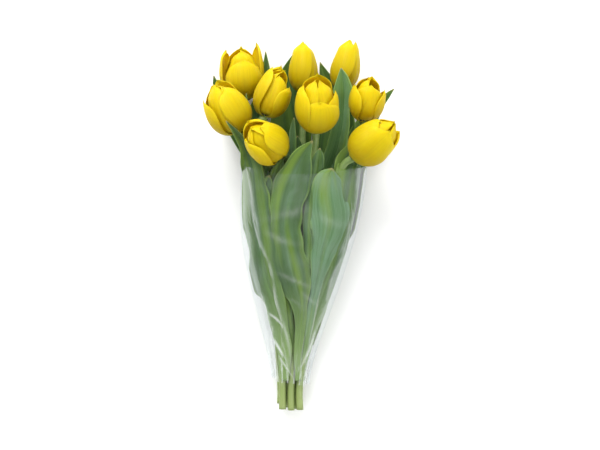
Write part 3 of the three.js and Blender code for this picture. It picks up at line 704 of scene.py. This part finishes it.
def leaf_points(leaf, number):
    """The middle of a leaf's blade: against the film inside the sleeve, and free past its mouth."""
    random = np.random.default_rng(200 + number)
    rows, columns = 130, 27
    phase = random.uniform(0, 2 * math.pi, 6)
    side_of_sleeve = leaf.get("side", 0)
    inset = film_gap + leaf.get("level", 0) * leaf_pitch
    line = []
    for across, along, half, *height in leaf["line"]:
        x, y = mouth.x + across * MM, neck_y + along * MM
        z = mouth.z + height[0] * MM if height else float(wall_height(x, y, inset, side_of_sleeve))
        line.append((x, y, z, half * MM))
    path, length = evenly(spline(line), rows)
    middle, half = path[:, :3], np.maximum(path[:, 3:], THINNEST)
    t = np.linspace(0, 1, rows)[:, None]
    u = np.linspace(-1, 1, columns)[None, :]
    run = t * length / MM

    # Wavy margins
    margin = 1 + 0.07 * np.sin(run / 9 + phase[0] + 1.9 * np.sign(u)) + 0.04 * np.sin(run / 4.3 + phase[1] + u)
    across = u * half * lerp(1.0, margin, np.abs(u) ** 2)
    ruffle = np.abs(u) ** 3 * (1 + np.sin(run / 8 + phase[2] + 2.3 * np.sign(u))) * half * 0.11
    fold = 1.5 * MM * np.exp(-(u / 0.13) ** 2) * np.clip(half / (12 * MM), 0, 1)
    curl = 0.12 * half * np.abs(u) ** 2.5

    tangent = unit(np.gradient(middle, axis=0))
    roll = math.radians(leaf.get("roll", random.uniform(-14, 14)))
    sideways = unit(np.cross(tangent, np.array([0, 0, 1.0])))
    upward = np.cross(sideways, tangent)
    sideways, upward = (sideways * math.cos(roll) + upward * math.sin(roll),
                        upward * math.cos(roll) - sideways * math.sin(roll))
    sag = 0.1 * half * u ** 2 * np.sin(run / 11 + phase[3] + 2 * np.sign(u))
    lift = leaf.get("keel", 0.42) * np.abs(u) * half + sag
    free = middle[:, None] + sideways[:, None] * across[..., None] + upward[:, None] * lift[..., None]
    if not side_of_sleeve:
        return free

    # Inside the sleeve the blade is spread flat on the film, seen from above.
    still_bound, all_free = mouth.y - 14 * MM, mouth.y + 8 * MM
    loose = smooth(middle[:, 1], still_bound, all_free)[:, None]
    flat = unit(np.stack([tangent[:, 1], -tangent[:, 0], 0 * tangent[:, 0]], axis=1))
    x = middle[:, :1] + flat[:, :1] * across
    y = middle[:, 1:2] + flat[:, 1:2] * across
    within = np.clip(y, neck_y, mouth.y)
    middle_x, _, half_width, _ = sleeve_section(within)
    edge_share = 0.985  # of the section's width, where its wall turns too steep to follow
    reach = (half_width - inset) * edge_share
    x = np.clip(x, middle_x - reach, middle_x + reach)
    deep = inset + ruffle + fold + curl
    bound = np.stack([x, y, wall_height(x, within, deep, side_of_sleeve)], axis=-1)
    return lerp(bound, free, loose[..., None])


def make_leaves():
    tones = [
        leaf_material("leaf_green", (0.029, 0.076, 0.011), (0.068, 0.145, 0.03), 0.42),
        leaf_material("leaf_glaucous", (0.07, 0.165, 0.05), (0.13, 0.25, 0.11), 0.85),
        leaf_material("leaf_deep", (0.026, 0.075, 0.006), (0.06, 0.14, 0.016), 0.25),
        leaf_material("leaf_young", (0.085, 0.2, 0.045), (0.17, 0.33, 0.11), 0.6),
    ]
    for number, leaf in enumerate(leaves, 1):
        piece = grid_object(f"Leaf{number}", leaf_points(leaf, number))
        thicken(piece, leaf_thickness)
        place(piece, tones[leaf.get("tone", 0)], "leaf", f"leaf_{leaf['stands_for']:02d}")


# ---- Film sleeve ----

# Long folds and creases in the film, on its front: where each starts and ends (mm, across from the middle of
# the mouth and along from the neck), how wide and high it stands and how white it is painted, partly as the film's
# stress whitening and partly as painted glints of light on it.
creases = [
    ((-62, 236), (-50, 168), 1.3, 1.0, 0.3),
    ((-50, 168), (-36, 128), 1.2, 1.0, 0.32),
    ((-36, 128), (-31, 108), 1.3, 1.0, 0.32),
    ((-31, 108), (-22, 66), 1.2, 1.0, 0.36),
    ((-22, 66), (-14, 14), 1.5, 1.1, 0.4),
    ((-54, 190), (-44, 140), 1.1, 0.8, 0.25),
    ((-38, 76), (-20, 60), 1.1, 1.0, 0.55),
    ((-31, 48), (-18, 26), 1.2, 1.2, 0.7),
    ((-26, 30), (-12, 8), 1.0, 1.0, 0.7),
    ((-32, 62), (-28, 22), 1.1, 0.8, 0.35),
    ((-22, 44), (-17, 6), 0.9, 0.9, 0.45),
    ((10, 56), (-7, 14), 1.2, 1.2, 0.6),
    ((17, 62), (5, 24), 1.0, 1.0, 0.3),
    ((2, 20), (4, 2), 1.1, 0.9, 0.45),
    ((-8, 22), (-4, 1), 1.0, 0.9, 0.35),
    ((-44, 96), (-33, 60), 1.0, 0.7, 0.3),
    ((-38, 158), (-6, 146), 3.2, 0.5, 0.1),
    ((-30, 174), (4, 183), 4.0, 0.5, 0.09),
    ((-26, 116), (6, 102), 2.4, 0.5, 0.12),
    ((10, 176), (44, 164), 4.5, 0.5, 0.09),
    ((-2, 96), (12, 84), 2.0, 0.5, 0.12),
    ((-16, 90), (-2, 78), 1.6, 0.5, 0.12),
    ((36, 130), (22, 90), 1.3, 0.8, 0.25),
    ((48, 160), (40, 132), 1.2, 0.7, 0.2),
]


def make_sleeve():
    """Clear film: long folds run up from the gathered neck, and fine creases cross it."""
    rows, columns = 230, 330
    random = np.random.default_rng(7)
    angle = np.linspace(0, 2 * math.pi, columns, endpoint=False)[None, :]
    share = np.linspace(0, 1, rows)[:, None]
    low = neck_y + neck_slant * np.maximum(0, -np.cos(angle)) + 1.5 * MM * np.sin(5 * angle)
    high = mouth.y - mouth_dip * np.maximum(0, np.sin(angle)) - 1.2 * MM * (1 + np.sin(4 * angle + 1))
    y = lerp(low, high, share)
    pleats = np.zeros((rows, columns))
    for _ in range(24):
        at = random.uniform(0, 2 * math.pi)
        drift = random.uniform(-0.5, 0.5)
        width = random.uniform(0.03, 0.1)
        reach = random.uniform(0.3, 0.9)
        height = random.uniform(0.4, 1.3) * MM
        near = np.angle(np.exp(1j * (angle - at - drift * share)))
        pleats += height * np.exp(-(near / width) ** 2) * (1 - smooth(share, 0.3 * reach, reach))
    gather = 0.9 * MM * np.sin(17 * angle + 3 * share) * (1 - smooth(share, 0.0, 0.25))
    sway = 0.7 * MM * np.sin(3 * angle + 9 * share) * smooth(share, 0.2, 1)
    out = pleats + np.maximum(gather, -0.6 * MM) + sway
    points = wall_point(y, angle, -out)

    # Creases stand out of the front, and the gathered neck is creased all round. Both are painted white, partly as
    # the film's stress whitening and partly as painted glints of light on them.
    plan = (points[..., :2] - np.array([mouth.x, neck_y])) / MM
    front = smooth(np.broadcast_to(np.sin(angle), plan.shape[:2]), -0.1, 0.15)
    whitening_and_glints = 0.5 * (1 - smooth(share, 0.02, 0.2)) * np.clip(np.sin(23 * angle + 6 * share), 0, 1) ** 3
    for start, end, width, height, white in creases:
        start, end = np.array(start, float), np.array(end, float)
        span = end - start
        along = np.clip(((plan - start) @ span) / (span @ span), 0, 1)
        bend = 2.5 * np.sin(math.pi * along) * np.sin(start[0] + 0.1 * end[1])
        normal = np.array([span[1], -span[0]]) / np.linalg.norm(span)
        apart = np.linalg.norm(plan - start - along[..., None] * span - bend[..., None] * normal, axis=-1)
        near = np.exp(-(apart / width) ** 2) * np.sin(math.pi * lerp(0.12, 0.88, along)) * front
        out = out + height * MM * near
        whitening_and_glints = np.maximum(whitening_and_glints, white * near)
    points = wall_point(y, angle, -out)
    points[..., 2] = np.maximum(points[..., 2], mouth.z + 0.05 * MM)
    piece = grid_object("Film_sleeve", points, closed=True)
    layer = piece.data.attributes.new("crease", "FLOAT", "POINT")
    layer.data.foreach_set("value", np.broadcast_to(whitening_and_glints, (rows, columns)).astype(np.float32).ravel())
    place(piece, film_material(), "film", "sleeve")


# ---- Floor, light and camera ----

def make_floor():
    material = Nodes("floor")
    floor_size = 6
    bpy.ops.mesh.primitive_plane_add(size=floor_size, location=(0, 0, mouth.z - FLOOR_DROP))
    floor = bpy.context.object
    floor.name = "Floor"
    skin = material.add("ShaderNodeBsdfPrincipled", {"Base Color": colour(0.96, 0.96, 0.96), "Roughness": 0.9})
    floor.data.materials.append(material.finish(skin))


def make_light(name, spot, target, size, power):
    data = bpy.data.lights.new(name, "AREA")
    data.shape = "DISK"
    data.size = size
    data.energy = power
    light = bpy.data.objects.new(name, data)
    light.location = spot
    light.rotation_euler = (Vector(target) - Vector(spot)).to_track_quat("-Z", "Y").to_euler()
    bpy.context.scene.collection.objects.link(light)


def make_lights():
    world = bpy.data.worlds.new("studio")
    world.use_nodes = True
    background = world.node_tree.nodes["Background"]
    background.inputs[0].default_value = colour(1.0, 1.0, 1.0)
    background.inputs[1].default_value = 1.0
    bpy.context.scene.world = world
    make_light("Key", (-0.5, 1.7, 1.3), (0, 0.05, 0.04), 1.5, 48)
    make_light("Fill", (1.3, -0.3, 1.4), (0, 0, 0.04), 1.2, 7)


def make_camera():
    """Looks straight down on the bunch, with the flowers at the top of the picture."""
    data = bpy.data.cameras.new("Camera")
    data.lens = 85
    data.sensor_width = 36
    shown_width = 0.6135  # of the bunch's middle plane, across the picture
    middle_height = 0.045
    aside, back = 4.4 * MM, 0.4 * MM  # places the bunch as the photo does
    camera = bpy.data.objects.new("Camera", data)
    distance = shown_width * data.lens / data.sensor_width
    camera.location = (mouth.x - aside, -back, middle_height + distance)
    bpy.context.scene.collection.objects.link(camera)
    bpy.context.scene.camera = camera
    bpy.context.scene.view_settings.view_transform = "Standard"


make_camera()
make_lights()
make_floor()
make_tulips()
make_leaves()
make_sleeve()
